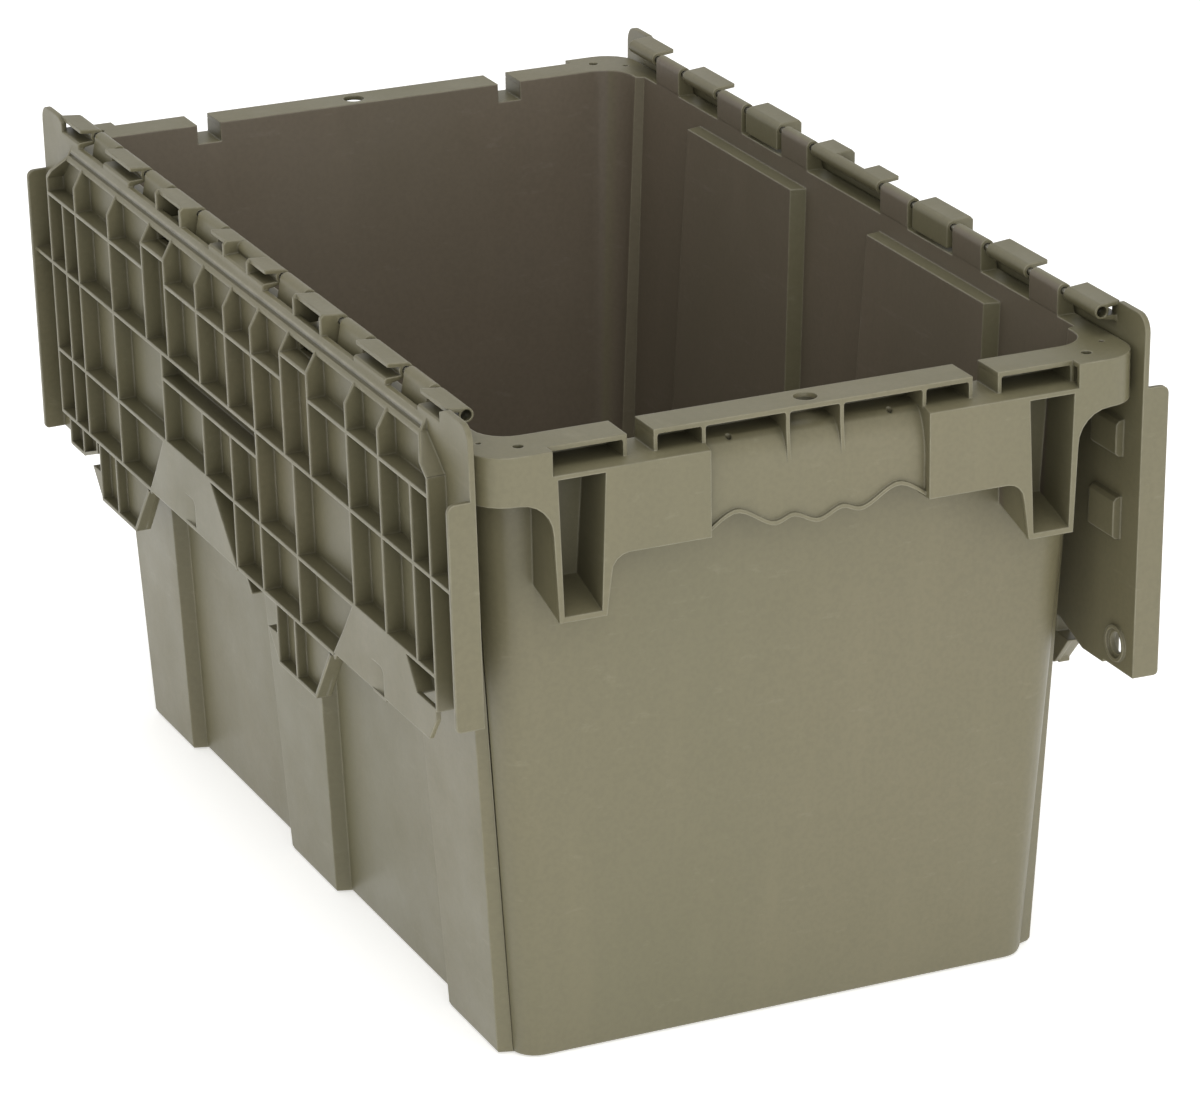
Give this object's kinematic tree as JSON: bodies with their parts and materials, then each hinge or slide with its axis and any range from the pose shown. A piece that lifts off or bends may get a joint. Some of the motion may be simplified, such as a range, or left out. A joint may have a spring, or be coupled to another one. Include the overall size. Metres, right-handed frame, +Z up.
{
  "type": "attached lid tote",
  "caption": "Nesting storage tote with interlocking hinged lid halves, ribbed lids, stacking bars and hand-holds on both ends.",
  "frame": {"origin": "middle of the tote's underside, on the floor", "axes": "+X to the right of the near end, +Y away from it along the length, +Z up"},
  "size_m": [0.3526, 0.562, 0.3237],
  "materials": {
    "tote_plastic": "moulded satin, olive grey",
    "lid_plastic": "moulded satin, olive grey",
    "wire_steel": "drawn, bright"
  },
  "bodies": {
    "tote": {"tote_body": "tote_plastic", "hinge_wire_left": "wire_steel", "hinge_wire_right": "wire_steel"},
    "lid_half_left": {"lid_left": "lid_plastic"},
    "lid_half_right": {"lid_right": "lid_plastic"}
  },
  "joints": [
    {"name": "lid_left_hinge", "type": "hinge", "parent": "tote", "child": "lid_half_left", "pos_m": [-0.1558, 0, 0.3194], "axis": [0, 1, 0], "range_deg": [0, 271]},
    {"name": "lid_right_hinge", "type": "hinge", "parent": "tote", "child": "lid_half_right", "pos_m": [0.1558, 0, 0.3194], "axis": [0, -1, 0], "range_deg": [0, 271]}
  ]
}
